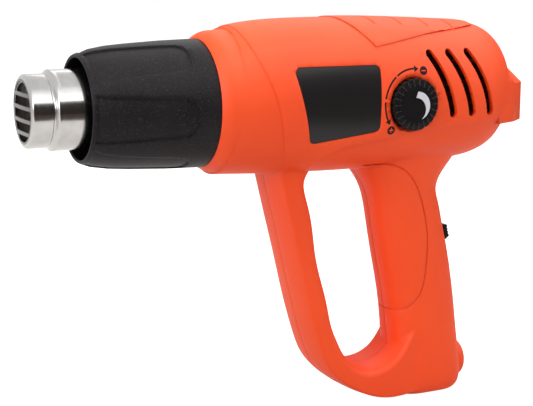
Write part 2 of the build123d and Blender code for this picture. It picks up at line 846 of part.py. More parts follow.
def dial_mark():
    outer = Pos(*knob_mark_outer_place) * Circle(knob_mark_outer_radius)
    inner = Pos(*knob_mark_inner_place) * Circle(knob_mark_inner_radius)
    size = knob_radius * 2
    aside = Pos(*knob_mark_start) * Rot(0, 0, -knob_mark_start_lean) * Pos(-size / 2, 0) * Rectangle(size, size)
    mark = outer - inner - aside
    plane = Plane(origin=(dial_place, -dial_face, dial_height), x_dir=(1, 0, 0), z_dir=(0, -1, 0))
    mark = max((plane * mark).faces(), key=lambda face: face.area)
    return extrude(mark, amount=knob_mark_thickness)


# Label plate, vents and screens
def plate_outline(gap):
    points = [(plate_rear - x * plate_width, plate_top - z * plate_height) for x, z in plate_shares]
    face = make_face(Polyline(*points, close=True))
    face = fillet(face.vertices(), plate_corner)
    return offset(face, amount=-gap) if gap else face


def label_plate():
    prism = extrude(Plane.XZ * plate_outline(plate_gap), amount=reach)
    return prism & (barrel_form(plate_sink) - barrel_form(skin_depth))


def vent_slots():
    chord_x, chord_z = vent_bottom_place - vent_top_place, vent_bottom_height - vent_top_height
    chord = math.hypot(chord_x, chord_z)
    middle = (
        (vent_top_place + vent_bottom_place) / 2 - vent_bow * chord_z / chord,
        (vent_top_height + vent_bottom_height) / 2 + vent_bow * chord_x / chord)
    arc = ThreePointArc((vent_top_place, vent_top_height), middle, (vent_bottom_place, vent_bottom_height))
    slot = SlotArc(arc, vent_width)
    near = Part()
    for index in range(vent_count):
        near = near + extrude(Plane.XZ.offset(vent_depth) * Pos(index * vent_pitch, 0) * slot, amount=reach)
    return near


def dust_screen():
    outer = wall + screen_gap
    skin = barrel_form(outer) - barrel_form(outer + screen_thickness)
    left, right = vent_top_place - screen_margin, vent_bottom_place + (vent_count - 1) * vent_pitch + screen_margin
    low, high = vent_bottom_height - screen_margin, vent_top_height + screen_margin
    screen = skin & block(left, right, -reach, -vent_depth, low, high)
    pitch = (high - low) / screen_slat_count
    for index in range(screen_slat_count):
        z = low + (index + 0.5) * pitch
        half = screen_slat_height / 2
        edge = screen_margin / 2
        screen = screen - block(left + edge, right - edge, -reach, 0, z - half, z + half)
    return screen - rod_along_y(dial_place, dial_height, well_radius + well_wall + seat_gap * 2, -reach, 0)


# Switch
def switch_frame():
    lean = math.radians(switch_lean)
    return Plane(origin=(switch_reach, 0, switch_height), x_dir=(-math.sin(lean), 0, math.cos(lean)),
                 z_dir=(math.cos(lean), 0, math.sin(lean)))


def switch_box(length, width, low, high, shift=0.0):
    middle = Location((shift, 0, (low + high) / 2))
    return switch_frame().location * middle * Box(length, width, high - low)


def switch_body_sink():
    return shutter_sink + shutter_thickness + running_gap


def switch_slot():
    length = switch_stem_length + switch_travel + switch_slot_gap * 2
    return switch_box(length, switch_stem_width + switch_slot_gap * 2, -wall * 2, overrun, switch_travel / 2)


def switch_slider():
    shutter_low = -shutter_sink - shutter_thickness
    slot = switch_stem_length + switch_travel + switch_slot_gap * 2
    shutter_length = slot + switch_travel + shutter_overlap * 2
    slider = switch_box(switch_stem_length, switch_stem_width, shutter_low, thumb_base_rise + thumb_rise / 2)
    slider = slider + switch_box(shutter_length, shutter_half_width * 2, shutter_low, -shutter_sink)
    nub_low = -switch_body_sink() - switch_nub_depth
    slider = slider + switch_box(switch_nub_length, switch_nub_width, nub_low, -shutter_sink)
    base = switch_frame().offset(thumb_base_rise) * Rectangle(thumb_length, thumb_width)
    cap = extrude(base, amount=thumb_rise, taper=math.degrees(math.atan2(thumb_taper, thumb_rise)))
    pitch = (thumb_length - thumb_taper * 2) / (thumb_rib_count + 1)
    for index in range(thumb_rib_count):
        along = (index + 1) * pitch - (thumb_length - thumb_taper * 2) / 2
        top = thumb_base_rise + thumb_rise
        cap = cap - switch_box(thumb_rib_width, thumb_width * 2, top - thumb_rib_depth, top + overrun, along)
    return slider + cap


def switch_body():
    top = -switch_body_sink()
    body = switch_box(switch_body_length, switch_body_width, top - switch_body_depth, top, switch_travel / 2)
    length = switch_nub_length + switch_travel + running_gap * 2
    pocket = top - switch_nub_depth - running_gap
    return body - switch_box(length, switch_nub_width + running_gap * 2, pocket, overrun, switch_travel / 2)


# Board in the grip
def board_frame():
    lean = math.radians(board_lean)
    along = (math.cos(lean), 0, math.sin(lean))
    return Plane(origin=(board_place, board_offset, board_height), x_dir=along, z_dir=(0, -1, 0))


def circuit_board():
    board = extrude(board_frame() * Rectangle(board_width, board_length), amount=-board_thickness)
    for side in (-1, 1):
        hole = board_frame() * Pos(0, side * board_post_place) * Circle(board_pin_radius + board_pin_gap)
        board = board - extrude(hole, amount=-board_thickness)
    return board


def filter_capacitor():
    can = extrude(board_frame() * Pos(0, capacitor_place) * Circle(capacitor_radius), amount=capacitor_length)
    return fillet(can.edges().filter_by(GeomType.CIRCLE).sort_by(Axis.Y)[0], capacitor_round)


def heatsink():
    base = Pos(0, heatsink_place) * Rectangle(heatsink_width, heatsink_length)
    sink = extrude(board_frame() * base, amount=heatsink_thickness)
    for index in range(heatsink_fin_count):
        x = heatsink_width * (index / (heatsink_fin_count - 1) - 0.5)
        x = x - math.copysign(heatsink_fin_thickness / 2, x)
        fin = Pos(x, heatsink_place) * Rectangle(heatsink_fin_thickness, heatsink_length)
        sink = sink + extrude(board_frame() * fin, amount=heatsink_thickness + heatsink_fin_height)
    return sink


def board_posts():
    places = [Pos(0, side * board_post_place) for side in (-1, 1)]
    plane = board_frame().offset(-board_thickness)
    return Part() + [extrude(plane * place * Circle(board_post_radius), amount=-grip_half_width) for place in places]


def board_pins():
    places = [Pos(0, side * board_post_place) for side in (-1, 1)]
    length = board_thickness * 2
    return Part() + [extrude(board_frame() * place * Circle(board_pin_radius), amount=-length) for place in places]


# Cord gland and clamp
def cable_gland():
    end = boss_reach - gland_recess
    start = end - gland_length
    flange_end = boss_reach - wall - seat_gap - running_gap
    gland = rod_along_x(start, gland_length, gland_radius, z=boss_height)
    gland = gland + rod_along_x(
        flange_end - gland_flange_thickness, gland_flange_thickness, gland_flange_radius, z=boss_height)
    return gland - rod_along_x(start - overrun, gland_length + overrun * 2, gland_bore_radius, z=boss_height)


def clamp_heights():
    return [boss_height + side * clamp_screw_offset for side in (-1, 1)]


def cord_clamp():
    half = clamp_width / 2
    clamp = block(clamp_place - half, clamp_place + half, -clamp_seat - clamp_thickness, -clamp_seat,
                  boss_height - clamp_reach, boss_height + clamp_reach)
    clamp = clamp - rod_along_x(clamp_place - overrun, overrun * 2, clamp_gap, z=boss_height)
    for z in clamp_heights():
        clamp = clamp - rod_along_y(clamp_place, z, clamp_screw_radius + screw_shank_gap, -reach, reach)
    return clamp


def clamp_screws():
    top = -clamp_seat - clamp_thickness
    screws = Part()
    for z in clamp_heights():
        screws = screws + rod_along_y(clamp_place, z, clamp_head_radius, top - clamp_head_height, top)
        screws = screws + rod_along_y(clamp_place, z, clamp_screw_radius, top, top + clamp_screw_length)
    return screws


def clamp_posts():
    radius = clamp_post_radius
    return Part() + [rod_along_y(clamp_place, z, radius, -clamp_seat, grip_half_width) for z in clamp_heights()]


def clamp_post_holes():
    end = clamp_screw_length - clamp_seat - clamp_thickness + seat_gap
    radius = clamp_screw_radius + screw_shank_gap
    return Part() + [rod_along_y(clamp_place, z, radius, -reach, end) for z in clamp_heights()]


# Casing screws and their bosses
def screw_bosses():
    radius = screw_head_radius + screw_head_gap + screw_boss_wall
    return Part() + [rod_along_y(x, z, radius, -reach, reach) for x, z in screw_places]


def screw_holes():
    holes = Part()
    for x, z in screw_places:
        shank_end = screw_head_seat - screw_length - seat_gap
        holes = holes + rod_along_y(x, z, screw_shank_radius + screw_shank_gap, shank_end, reach)
        holes = holes + rod_along_y(x, z, screw_head_radius + screw_head_gap, screw_head_seat, reach)
    return holes


def casing_screws():
    screws = Part()
    for x, z in screw_places:
        head_end = screw_head_seat + screw_head_height
        screws = screws + rod_along_y(x, z, screw_shank_radius, screw_head_seat - screw_length, screw_head_seat)
        screws = screws + rod_along_y(x, z, screw_head_radius, screw_head_seat, head_end)
    return screws


# Casing details
def panel_groove_cutter(skin):
    points = [(grip_reference_place + x * grip_reference_depth, grip_top_height - z * grip_height)
              for x, z in panel_outline_shares]
    outer = Polyline(*points[:3])
    for index in range(2, len(points) - 2, 2):
        outer = outer + ThreePointArc(points[index], points[index + 1], points[index + 2])
    outer = make_face(outer + Line(points[-1], points[0]))
    inner = offset(outer, amount=-panel_groove_width)
    band = extrude(Plane.XZ * (outer - inner), amount=reach)
    front = block(-overrun, points[1][0], -reach, reach, -reach * 2, reach)
    return band - skin - front


def parting_groove_cutter(skin):
    half = parting_groove_width / 2
    return block(barrel_front - overrun, foot_reach + overrun, -half, half, -reach * 2, reach) - skin


def casing_ribs(limit):
    flange_rib = tube_length - tube_flange_thickness - seat_gap - casing_rib_thickness
    duct_rib = tube_length + seat_gap * 2 + duct_flange_thickness
    bore = duct_inner_radius + duct_wall + seat_gap
    places = [(flange_rib, tube_radius + seat_gap)] + [(place, bore) for place in (duct_rib, ) + casing_rib_places]
    ribs = Part()
    for place, radius in places:
        disc = rod_along_x(place, casing_rib_thickness, reach / 2) & limit
        ribs = ribs + (disc - rod_along_x(place - overrun, overrun * 3, radius))
    return ribs


def switch_ribs():
    low = -switch_body_sink() - switch_body_depth
    high = -switch_body_sink() - running_gap
    length, width = switch_body_length + seat_gap * 2, switch_body_width + seat_gap * 2
    hollow = switch_box(length, width, low - overrun, overrun, switch_travel / 2)
    ribs = Part()
    for side in (-1, 1):
        place = switch_travel / 2 + side * (switch_body_length / 2 - switch_rib_inset)
        ribs = ribs + switch_box(switch_rib_thickness, grip_half_width * 2, low, high, place)
    return ribs - hollow


def dial_well():
    back = -(well_floor - well_floor_thickness)
    cup = rod_along_y(dial_place, dial_height, well_radius + well_wall, -reach, back)
    return cup & barrel_form(wall / 2)


def dial_well_hollow():
    hollow = rod_along_y(dial_place, dial_height, well_radius, -reach, -well_floor)
    return hollow + rod_along_y(dial_place, dial_height, control_bush_radius + seat_gap, -reach, 0)


def common_half(middle):
    shell = left_side(casing_outside()) - casing_form(wall)
    inner_parts = screw_bosses() + switch_ribs()
    shell = shell + (left_side(inner_parts) & middle) + left_side(casing_ribs(barrel_form(wall / 2)))
    spigot = guard_rear_radius - guard_spigot_step + seat_gap
    shell = shell - rod_along_x(barrel_front - overrun, overrun + guard_spigot_length + seat_gap, spigot)
    shell = shell - rod_along_x(boss_reach - boss_length, boss_length * 2, gland_radius + seat_gap, z=boss_height)
    shell = shell - switch_slot() - vent_slots()
    skin = casing_form(panel_groove_depth)
    lower_skin = joined_form(barrel_form(skin_depth + panel_groove_depth), panel_groove_depth)
    return shell - panel_groove_cutter(lower_skin) - parting_groove_cutter(skin)


def casing_halves():
    middle = casing_form(wall / 2)
    common = common_half(middle)
    recess = extrude(Plane.XZ * plate_outline(0), amount=reach) - barrel_form(skin_depth)
    left = common + dial_well() - dial_well_hollow() - recess - screw_holes()
    right = mirror(common, about=Plane.XZ) + ((board_posts() + clamp_posts()) & middle)
    right = right + board_pins() - screw_holes() - clamp_post_holes()
    return left, right


def main():
    left, right = casing_halves()
    screen = dust_screen()
    nodes = {
        "left_housing": left,
        "right_housing": right,
        "nozzle_guard": nozzle_guard(),
        "nozzle_tube": nozzle_tube(),
        "outlet_grille": outlet_grille(),
        "mica_liner": mica_liner(),
        "heater_former": heater_former(),
        "heating_windings": heating_windings(),
        "heater_spider": heater_spider(),
        "thermal_cutout": thermal_cutout(),
        "air_duct": air_duct(),
        "motor_can": motor_can(),
        "motor_shaft": motor_shaft(),
        "rectifier_board": rectifier_board(),
        "fan_impeller": fan_impeller(),
        "control_body": control_body(),
        "control_nut": control_nut(),
        "dial_shaft": dial_shaft(),
        "dial_knob": dial_knob(),
        "dial_mark": dial_mark(),
        "label_plate": label_plate(),
        "left_dust_screen": screen,
        "right_dust_screen": mirror(screen, about=Plane.XZ),
        "switch_body": switch_body(),
        "switch_slider": switch_slider(),
        "circuit_board": circuit_board(),
        "filter_capacitor": filter_capacitor(),
        "heatsink": heatsink(),
        "cable_gland": cable_gland(),
        "cord_clamp": cord_clamp(),
        "clamp_screws": clamp_screws(),
        "casing_screws": casing_screws(),
    }
    for name, solid in nodes.items():
        export_step(solid, f"parts/{name}.step")
        print(name, len(solid.solids()), round(solid.volume), solid.is_valid)


if __name__ == "__main__":
    main()
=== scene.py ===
# Mains hot-air gun with a closed-loop handle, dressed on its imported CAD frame
import math
import bmesh
import bpy
from mathutils import Matrix, Vector


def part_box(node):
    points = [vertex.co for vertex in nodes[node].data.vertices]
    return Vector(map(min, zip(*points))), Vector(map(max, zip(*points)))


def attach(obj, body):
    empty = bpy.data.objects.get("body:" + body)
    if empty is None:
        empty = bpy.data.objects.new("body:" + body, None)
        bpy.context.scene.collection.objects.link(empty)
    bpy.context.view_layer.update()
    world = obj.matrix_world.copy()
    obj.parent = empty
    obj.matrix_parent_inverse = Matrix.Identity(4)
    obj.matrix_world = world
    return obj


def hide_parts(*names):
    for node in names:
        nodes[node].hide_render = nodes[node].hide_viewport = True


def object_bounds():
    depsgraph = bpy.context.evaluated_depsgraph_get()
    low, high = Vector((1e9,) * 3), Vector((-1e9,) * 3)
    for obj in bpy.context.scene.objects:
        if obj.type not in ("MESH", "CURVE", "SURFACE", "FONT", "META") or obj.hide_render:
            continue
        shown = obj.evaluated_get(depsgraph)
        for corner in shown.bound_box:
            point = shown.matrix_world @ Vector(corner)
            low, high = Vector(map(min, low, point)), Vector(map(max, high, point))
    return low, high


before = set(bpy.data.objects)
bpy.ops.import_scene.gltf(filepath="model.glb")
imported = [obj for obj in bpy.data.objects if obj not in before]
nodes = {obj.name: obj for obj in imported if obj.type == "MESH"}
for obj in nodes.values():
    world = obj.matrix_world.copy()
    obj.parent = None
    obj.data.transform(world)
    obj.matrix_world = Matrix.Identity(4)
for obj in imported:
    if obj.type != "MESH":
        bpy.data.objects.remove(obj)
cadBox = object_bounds()
scene = bpy.context.scene
scene.view_settings.view_transform = "Standard"
mm = 0.001
white = (1, 1, 1, 1)
print("frame loaded")


# Small helpers
def srgb(code):
    # A hex colour as the linear values that nodes take
    def linear(value):
        return value / 12.92 if value <= 0.04045 else ((value + 0.055) / 1.055) ** 2.4
    return tuple(linear(int(code[i:i + 2], 16) / 255) for i in (1, 3, 5)) + (1.0,)


def addNode(tree, kind, settings=None, sockets=None):
    node = tree.nodes.new(kind)
    for name, value in (settings or {}).items():
        setattr(node, name, value)
    for name, value in (sockets or {}).items():
        if isinstance(value, bpy.types.NodeSocket):
            tree.links.new(value, node.inputs[name])
        else:
            node.inputs[name].default_value = value
    return node


def addObject(name, data):
    piece = bpy.data.objects.new(name, data)
    scene.collection.objects.link(piece)
    return piece


def dress(piece, material, body):
    piece.data.materials.clear()
    piece.data.materials.append(material)
    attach(piece, body)


def flatten(piece):
    # Turns the evaluated piece into a plain mesh and drops its modifiers
    graph = bpy.context.evaluated_depsgraph_get()
    mesh = bpy.data.meshes.new_from_object(piece.evaluated_get(graph))
    piece.modifiers.clear()
    piece.data = mesh
    return piece


# Geometry Nodes helpers. In a piece's sizes, a whole number is a count and any other value is in millimetres
def inputKinds(sizes):
    return {name: "Int" if isinstance(value, int) else "Float" for name, value in sizes.items()}


def lengths(sizes):
    return {name: value * mm if isinstance(value, float) else value for name, value in sizes.items()}


def startTree(name, inputs):
    tree = bpy.data.node_groups.new(name, "GeometryNodeTree")
    for direction in ("INPUT", "OUTPUT"):
        tree.interface.new_socket("Geometry", in_out=direction, socket_type="NodeSocketGeometry")
    for label, kind in inputs.items():
        tree.interface.new_socket(label, in_out="INPUT", socket_type="NodeSocket" + kind)
    return tree, addNode(tree, "NodeGroupInput").outputs


def endTree(tree, geometry, material):
    solid = addNode(tree, "GeometryNodeRealizeInstances", None, {"Geometry": geometry})
    coat = addNode(tree, "GeometryNodeSetMaterial", None, {"Geometry": solid.outputs[0], "Material": material})
    addNode(tree, "NodeGroupOutput", None, {"Geometry": coat.outputs[0]})


def grow(pieceName, tree, values, start=None):
    piece = addObject(pieceName, start or bpy.data.meshes.new(pieceName))
    modifier = piece.modifiers.new("nodes", "NODES")
    modifier.node_group = tree
    for item in tree.interface.items_tree:
        if item.in_out == "INPUT" and item.name in values:
            modifier[item.identifier] = values[item.name]
    return flatten(piece)


def wound(tree, radius, turns, height, steps, thickness, sides):
    # Wire swept along a spiral of even radius
    path = addNode(tree, "GeometryNodeCurveSpiral", None, {
        "Resolution": steps, "Rotations": turns, "Start Radius": radius, "End Radius": radius, "Height": height})
    section = addNode(tree, "GeometryNodeCurvePrimitiveCircle", None, {"Resolution": sides, "Radius": thickness})
    return addNode(tree, "GeometryNodeCurveToMesh", None, {
        "Curve": path.outputs[0], "Profile Curve": section.outputs[0], "Fill Caps": True}).outputs[0]


def raised(tree, geometry, height):
    # Geometry moved along Z
    lift = addNode(tree, "ShaderNodeCombineXYZ", None, {"Z": height})
    return addNode(tree, "GeometryNodeTransform", None, {
        "Geometry": geometry, "Translation": lift.outputs[0]}).outputs[0]


# Camera: fitted to the round parts in the photograph
view = {"place": (-0.1516, -0.5600, 0.0641), "turn": -0.45391, "down": 0.18415, "lens": 85.33, "sensor": 36,
        "near": 0.01}
camera = addObject("camera", bpy.data.cameras.new("camera"))
camera.location = view["place"]
camera.rotation_euler = (math.pi / 2 - view["down"], 0, view["turn"])
camera.data.sensor_fit = "HORIZONTAL"
camera.data.sensor_width = view["sensor"]
camera.data.lens = view["lens"]
camera.data.clip_start = view["near"]
scene.camera = camera


# Studio: pale floor and three soft lamps, with cards, a light strip and a sky panel that only gloss sees
studio = {
    "ambient": 0.28, "aim": (0.12, 0.0, -0.03),
    "lamps": (("lampTop", (0.05, 0.05, 1.15), 1.3, 19.0),  # name, place, size and power
              ("lampFront", (-1.45, -0.62, 0.55), 0.8, 16.2),
              ("lampSide", (1.1, -0.9, 0.5), 0.8, 7.0)),
    "glossyLamp": "lampFront",  # the tube shows neither of the others
    "paper": "#BBB9B6", "floorLift": 0.95, "floorGloss": 0.55, "floorGap": 0.0004, "floorSize": 8.0,
    "left": -0.9, "right": 1.6, "cardPlace": -0.36, "warmTop": -0.045, "cardTop": 0.2,
    "warm": "#6B5C56", "dark": "#3E3B39",
    "stripPlace": -0.12, "stripTop": 0.44, "stripStrength": 3.0, "endPlace": 0.62, "endTop": 0.3,
    "skyStart": 0.4, "skyHeight": 0.85, "skyStrength": 2.1,
}


def seenBy(tree, *kinds):
    # 1 for a ray of any of these kinds, and 0 for the rest
    rays = addNode(tree, "ShaderNodeLightPath").outputs
    seen = rays[kinds[0]]
    for kind in kinds[1:]:
        seen = addNode(tree, "ShaderNodeMath", {"operation": "ADD", "use_clamp": True},
                       {0: seen, 1: rays[kind]}).outputs[0]
    return seen


def addWorld():
    world = bpy.data.worlds.new("studio")
    scene.world = world
    world.use_nodes = True
    tree = world.node_tree
    tree.nodes.clear()
    seen = seenBy(tree, "Is Camera Ray", "Is Glossy Ray", "Is Transmission Ray")
    light = addNode(tree, "ShaderNodeBackground", None, {"Color": white, "Strength": studio["ambient"]})
    backdrop = addNode(tree, "ShaderNodeBackground", None, {"Color": white, "Strength": 1.0})
    mix = addNode(tree, "ShaderNodeMixShader", None, {0: seen, 1: light.outputs[0], 2: backdrop.outputs[0]})
    addNode(tree, "ShaderNodeOutputWorld", None, {"Surface": mix.outputs[0]})


def addLamps():
    for name, place, size, power in studio["lamps"]:
        lamp = bpy.data.lights.new(name, "AREA")
        lamp.size = size
        lamp.energy = power
        holder = addObject(name, lamp)
        holder.location = place
        holder.visible_glossy = name == studio["glossyLamp"]
        holder.rotation_euler = (Vector(studio["aim"]) - Vector(place)).to_track_quat("-Z", "Y").to_euler()


def blankMaterial(name):
    material = bpy.data.materials.new(name)
    material.use_nodes = True
    material.node_tree.nodes.clear()
    return material, material.node_tree


def floorMaterial():
    # Matt white paper: white where the lamps reach it, grey only in the object's shadow
    material, tree = blankMaterial("whitePaperFloor")
    gloss = addNode(tree, "ShaderNodeMath", {"operation": "MULTIPLY"},
                    {0: seenBy(tree, "Is Glossy Ray"), 1: studio["floorGloss"]})
    lift = addNode(tree, "ShaderNodeMath", {"operation": "MULTIPLY_ADD"}, {
        0: seenBy(tree, "Is Camera Ray", "Is Transmission Ray"), 1: studio["floorLift"], 2: gloss.outputs[0]})
    paper = addNode(tree, "ShaderNodeBsdfDiffuse", None, {"Color": srgb(studio["paper"])})
    glow = addNode(tree, "ShaderNodeEmission", None, {"Color": white, "Strength": lift.outputs[0]})
    both = addNode(tree, "ShaderNodeAddShader", None, {0: paper.outputs[0], 1: glow.outputs[0]})
    addNode(tree, "ShaderNodeOutputMaterial", None, {"Surface": both.outputs[0]})
    return material


def cardMaterial(name, code):
    material, tree = blankMaterial(name)
    card = addNode(tree, "ShaderNodeBsdfDiffuse", None, {"Color": srgb(code)})
    addNode(tree, "ShaderNodeOutputMaterial", None, {"Surface": card.outputs[0]})
    return material


def stripMaterial():
    # Brightest at its lower edge, next to the dark card
    material, tree = blankMaterial("lightStrip")
    place = addNode(tree, "ShaderNodeTexCoord").outputs["Object"]
    height = addNode(tree, "ShaderNodeSeparateXYZ", None, {0: place})
    fade = addNode(tree, "ShaderNodeMapRange", None, {
        "Value": height.outputs["Z"], "From Min": studio["cardTop"], "From Max": studio["stripTop"],
        "To Min": studio["stripStrength"], "To Max": 1.0})
    glow = addNode(tree, "ShaderNodeEmission", None, {"Color": white, "Strength": fade.outputs[0]})
    addNode(tree, "ShaderNodeOutputMaterial", None, {"Surface": glow.outputs[0]})
    return material


def skyMaterial():
    material, tree = blankMaterial("skyPanel")
    glow = addNode(tree, "ShaderNodeEmission", None, {"Color": white, "Strength": studio["skyStrength"]})
    addNode(tree, "ShaderNodeOutputMaterial", None, {"Surface": glow.outputs[0]})
    return material


def flatSheet(name, corners, material):
    mesh = bpy.data.meshes.new(name)
    mesh.from_pydata(corners, [], [tuple(range(len(corners)))])
    mesh.materials.append(material)
    sheet = addObject(name, mesh)
    return sheet


def glossOnly(name, corners, material):
    sheet = flatSheet(name, corners, material)
    sheet.visible_camera = False
    sheet.visible_diffuse = False
    sheet.visible_shadow = False
    sheet.visible_transmission = False


def addFloor():
    reach = studio["floorSize"] / 2
    z = cadBox[0].z - studio["floorGap"]
    corners = [(-reach, -reach, z), (reach, -reach, z), (reach, reach, z), (-reach, reach, z)]
    flatSheet("floor", corners, floorMaterial())
    # In front stands a warm card with a dark one on top, and a strip of light leans from them over the tool
    left, right, front = studio["left"], studio["right"], studio["cardPlace"]
    dark = cardMaterial("darkStudioCard", studio["dark"])
    sheets = (("warmCard", cardMaterial("warmStudioCard", studio["warm"])), ("darkCard", dark),
              ("lightStrip", stripMaterial()))
    edges = ((front, z), (front, studio["warmTop"]), (front, studio["cardTop"]),
             (studio["stripPlace"], studio["stripTop"]))
    for (name, material), low, high in zip(sheets, edges, edges[1:]):
        glossOnly(name, [(left, *low), (right, *low), (right, *high), (left, *high)], material)
    # A dark card stands beyond the tool's rear end, with a bright panel high above
    end, top = studio["endPlace"], studio["endTop"]
    glossOnly("endCard", [(end, left, z), (end, right, z), (end, right, top), (end, left, top)], dark)
    start, sky = studio["skyStart"], studio["skyHeight"]
    corners = [(start, left, sky), (right, left, sky), (right, right, sky), (start, right, sky)]
    glossOnly("skyPanel", corners, skyMaterial())


addWorld()
addLamps()
addFloor()
print("studio ready")


# Materials. A look has a base and patterns of noise, whose size, depth and edge are in millimetres. A pattern
# moves the colour between two shades and the roughness between two values, and its depth is a bump
noiseRange = {"From Min": 0.3, "From Max": 0.7}  # where nearly all of a noise lies
edgeSamples = 4


def makeMaterial(name, look):
    material, tree = blankMaterial(name)
    shader = addNode(tree, "ShaderNodeBsdfPrincipled", None, {
        "Base Color": srgb(look["base"]), "Roughness": look["roughness"], "Metallic": look.get("metallic", 0.0),
        "IOR": look.get("ior", 1.5), "Specular IOR Level": look.get("specular", 0.5)})
    addNode(tree, "ShaderNodeOutputMaterial", None, {"Surface": shader.outputs[0]})
    place = addNode(tree, "ShaderNodeTexCoord").outputs["Object"]
    colour = None
    for pattern in look["patterns"]:
        drawn = addNode(tree, "ShaderNodeMapping", None, {
            "Vector": place, "Scale": pattern.get("stretch", (1, 1, 1))})  # a small value draws it out
        noise = addNode(tree, "ShaderNodeTexNoise", None, {
            "Vector": drawn.outputs[0], "Scale": 1 / (pattern["size"] * mm), "Detail": pattern["detail"],
            "Roughness": pattern.get("coarseness", 0.5)}).outputs["Fac"]
        if "shades" in pattern:
            share = addNode(tree, "ShaderNodeMapRange", None, {"Value": noise, **noiseRange})
            colour = addNode(tree, "ShaderNodeMix", {"data_type": "RGBA"}, {
                0: share.outputs[0], 6: srgb(pattern["shades"][0]), 7: srgb(pattern["shades"][1])}).outputs[2]
        # Painted glint: where the noise peaks, the colour turns towards a pale grey that stands in for sparkle
        # under the lamp
        if "paintedGlint" in pattern:
            paintedGlint = pattern["paintedGlint"]
            share = addNode(tree, "ShaderNodeMapRange", None, {
                "Value": noise, "From Min": paintedGlint["from"], "From Max": paintedGlint["full"], "To Max": paintedGlint["most"]})
            colour = addNode(tree, "ShaderNodeMix", {"data_type": "RGBA"}, {
                0: share.outputs[0], 6: colour, 7: srgb(paintedGlint["shade"])}).outputs[2]
        if "roughness" in pattern:
            low, high = pattern["roughness"]
            share = addNode(tree, "ShaderNodeMapRange", None, {
                "Value": noise, "To Min": low, "To Max": high, **noiseRange})
            tree.links.new(share.outputs[0], shader.inputs["Roughness"])
        if "depth" in pattern:
            bump = addNode(tree, "ShaderNodeBump", None, {
                "Height": noise, "Distance": pattern["depth"] * mm, "Strength": pattern["strength"]})
            tree.links.new(bump.outputs[0], shader.inputs["Normal"])
            if "edge" in pattern:
                edge = addNode(tree, "ShaderNodeBevel", {"samples": edgeSamples}, {
                    "Radius": pattern["edge"] * mm})
                tree.links.new(edge.outputs[0], bump.inputs["Normal"])
    if colour is not None:
        tree.links.new(colour, shader.inputs["Base Color"])
    return material


def plainLook(low, high, roughness, size, depth, **rest):
    # Two near shades and a shallow skin, for small and inner parts
    sway = (0.8, 1.25) if "metallic" in rest else (0.85, 1.15)
    skin = {"size": size, "detail": 3.0, "coarseness": 0.55, "shades": (low, high),
            "roughness": [roughness * share for share in sway], "depth": depth, "strength": 0.3, "edge": 0.12}
    return {"base": low, "roughness": roughness, "patterns": (skin,), **rest}


